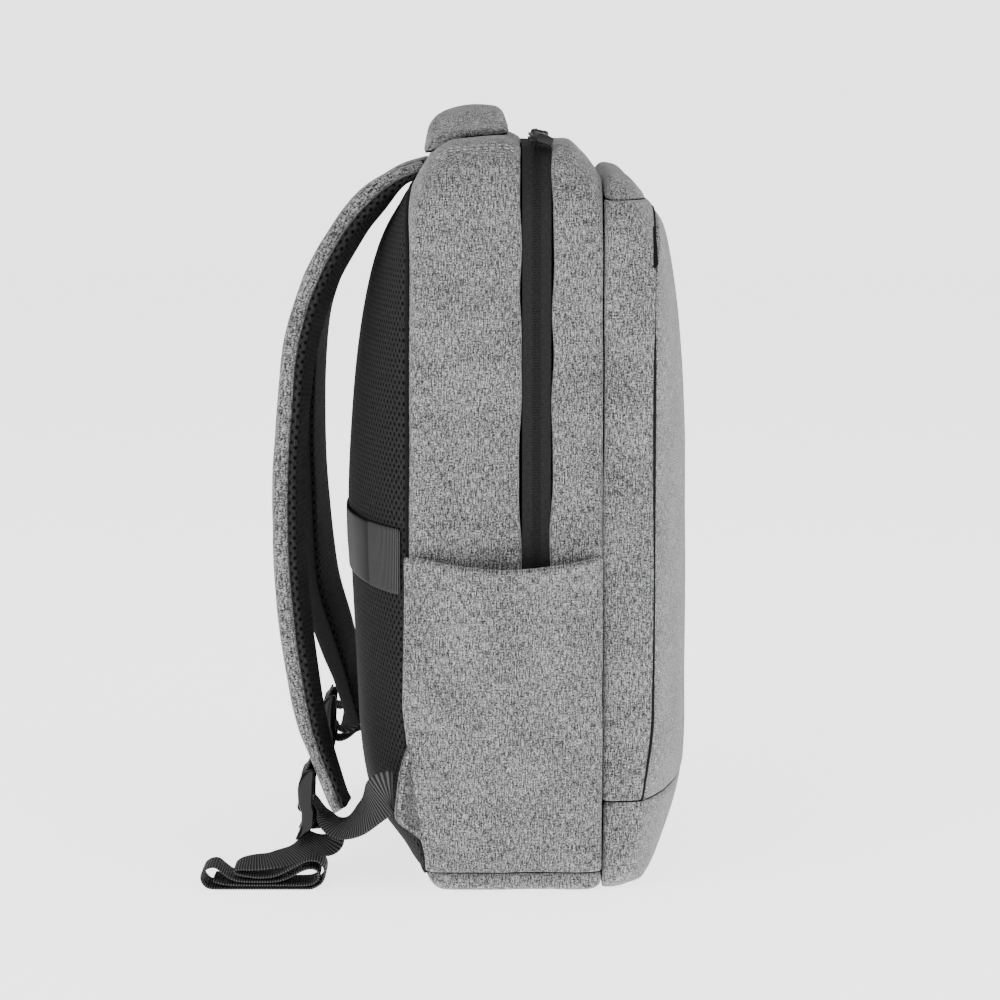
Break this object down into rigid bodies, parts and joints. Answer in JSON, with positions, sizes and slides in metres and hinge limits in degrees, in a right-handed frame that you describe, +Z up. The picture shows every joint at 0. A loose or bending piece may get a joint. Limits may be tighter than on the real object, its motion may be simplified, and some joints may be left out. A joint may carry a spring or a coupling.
{
  "type": "laptop backpack",
  "caption": "Upright boxy laptop backpack in heather cloth with a zipped main section, front pocket, open side pockets, padded shoulder straps, grab handle and a band for a luggage handle.",
  "frame": {"origin": "middle of the base where it rests, on the floor plane", "axes": "+Z up; +Y towards the wearer's back, so the back pad faces +Y; +X towards the wearer's right"},
  "size_m": [0.3447, 0.2849, 0.4472],
  "materials": {
    "heather_cloth": "heather grey woven polyester, matt",
    "air_mesh": "black spacer mesh, matt",
    "zip_tape": "black woven tape",
    "band_cloth": "dark smooth cloth with a soft sheen",
    "webbing": "black ribbed webbing",
    "zip_coil": "black coil",
    "slider_metal": "black enamel, satin",
    "pull_rubber": "dark grey moulded rubber, satin",
    "buckle_plastic": "black acetal, satin"
  },
  "bodies": {
    "bag": {"main_shell": "heather_cloth", "base_panel": "heather_cloth", "front_gusset_left": "heather_cloth", "front_gusset_right": "heather_cloth", "front_top": "heather_cloth", "front_panel": "heather_cloth", "front_base": "heather_cloth", "main_zip_tape": "zip_tape", "main_zip_coil": "zip_coil", "zip_slider_left": "slider_metal", "zip_slider_right": "slider_metal", "back_pad": "air_mesh", "trolley_band": "band_cloth", "trolley_web_left": "webbing", "trolley_web_right": "webbing", "side_pocket_left": "heather_cloth", "side_pocket_right": "heather_cloth", "strap_cover_left": "heather_cloth", "strap_cover_right": "heather_cloth", "strap_mesh_left": "air_mesh", "strap_mesh_right": "air_mesh", "wing_left": "heather_cloth", "wing_right": "heather_cloth", "buckle_left": "buckle_plastic", "buckle_right": "buckle_plastic", "buckle_loop_left": "webbing", "buckle_loop_right": "webbing", "webbing_left": "webbing", "webbing_right": "webbing", "handle_lining": "air_mesh", "handle_cover": "heather_cloth", "front_tab": "webbing"},
    "pull_left": {"puller_ring_left": "slider_metal", "puller_grip_left": "pull_rubber"},
    "pull_right": {"puller_ring_right": "slider_metal", "puller_grip_right": "pull_rubber"}
  },
  "joints": [
    {"name": "zip_pull_left", "type": "hinge", "parent": "bag", "child": "pull_left", "pos_m": [-0.094, -0.00365, 0.43157], "axis": [0, 1, 0], "range_deg": [0, 100]},
    {"name": "zip_pull_right", "type": "hinge", "parent": "bag", "child": "pull_right", "pos_m": [-0.07, -0.00365, 0.43157], "axis": [0, -1, 0], "range_deg": [0, 100]}
  ]
}
